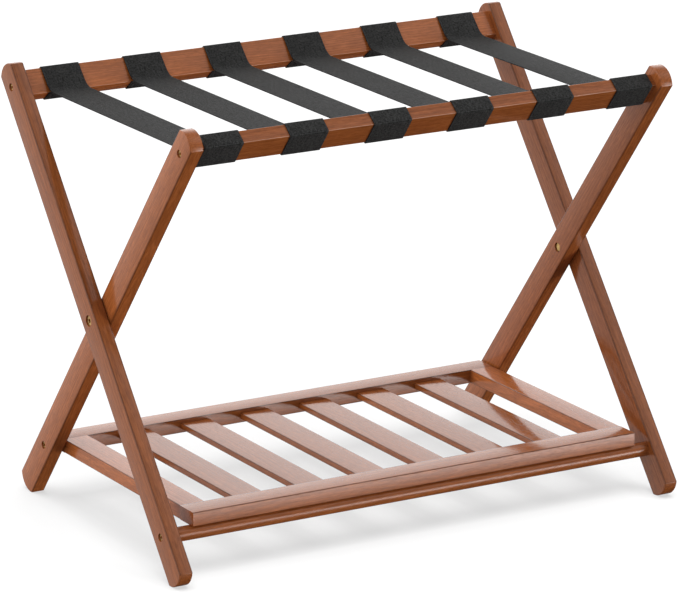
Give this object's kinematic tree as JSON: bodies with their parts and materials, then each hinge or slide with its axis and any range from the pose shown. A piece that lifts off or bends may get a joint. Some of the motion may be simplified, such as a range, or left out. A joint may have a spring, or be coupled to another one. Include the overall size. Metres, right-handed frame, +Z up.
{
  "type": "folding luggage rack",
  "caption": "Folding luggage rack: crossed wooden legs joined by bolts, webbing straps between the top rails, and a slatted shelf below that swings up flat between the inner legs.",
  "frame": {"origin": "on the floor, under the middle of the rack", "axes": "+X along the rails, -Y to the front of the rack where the dowel is, +Z up"},
  "size_m": [0.68, 0.4342, 0.5324],
  "materials": {
    "walnut": "walnut stain under a semi-gloss lacquer, grain along each piece",
    "webbing": "matte black woven webbing",
    "brass": "brass-plated socket screws, bolts and nuts",
    "nylon": "dark nylon washers"
  },
  "bodies": {
    "outer_frame": {"outer_leg_left": "walnut", "outer_leg_right": "walnut", "rear_top_rail": "walnut", "front_dowel": "walnut", "rear_rail_screws": "brass", "dowel_screws": "brass", "pivot_bolts": "brass", "pivot_nuts": "brass", "pivot_washers": "nylon", "strap_1_rear_loop": "webbing", "strap_2_rear_loop": "webbing", "strap_3_rear_loop": "webbing", "strap_4_rear_loop": "webbing", "strap_5_rear_loop": "webbing", "strap_6_rear_loop": "webbing", "strap_1_span": "webbing", "strap_2_span": "webbing", "strap_3_span": "webbing", "strap_4_span": "webbing", "strap_5_span": "webbing", "strap_6_span": "webbing"},
    "inner_frame": {"inner_leg_left": "walnut", "inner_leg_right": "walnut", "front_top_rail": "walnut", "front_rail_screws": "brass", "strap_1_front_loop": "webbing", "strap_2_front_loop": "webbing", "strap_3_front_loop": "webbing", "strap_4_front_loop": "webbing", "strap_5_front_loop": "webbing", "strap_6_front_loop": "webbing"},
    "shelf": {"shelf_front_rail": "walnut", "shelf_rear_rail": "walnut", "shelf_left_rail": "walnut", "shelf_right_rail": "walnut", "shelf_slat_1": "walnut", "shelf_slat_2": "walnut", "shelf_slat_3": "walnut", "shelf_slat_4": "walnut", "shelf_slat_5": "walnut", "shelf_slat_6": "walnut", "shelf_pivot_screws": "brass", "shelf_spacers": "nylon"}
  },
  "joints": [
    {"name": "frame_fold", "type": "hinge", "parent": "outer_frame", "child": "inner_frame", "pos_m": [0, 0, 0.2662], "axis": [-1, 0, 0], "range_deg": [0, 71.5], "deforming": ["strap_1_span", "strap_2_span", "strap_3_span", "strap_4_span", "strap_5_span", "strap_6_span"]},
    {"name": "shelf_fold", "type": "hinge", "parent": "inner_frame", "child": "shelf", "pos_m": [0, 0.15691, 0.06964], "axis": [-1, 0, 0], "range_deg": [0, 51.4]}
  ],
  "couplings": [
    {"joint": "shelf_fold", "follows": "frame_fold", "ratio": 0.71888}
  ]
}
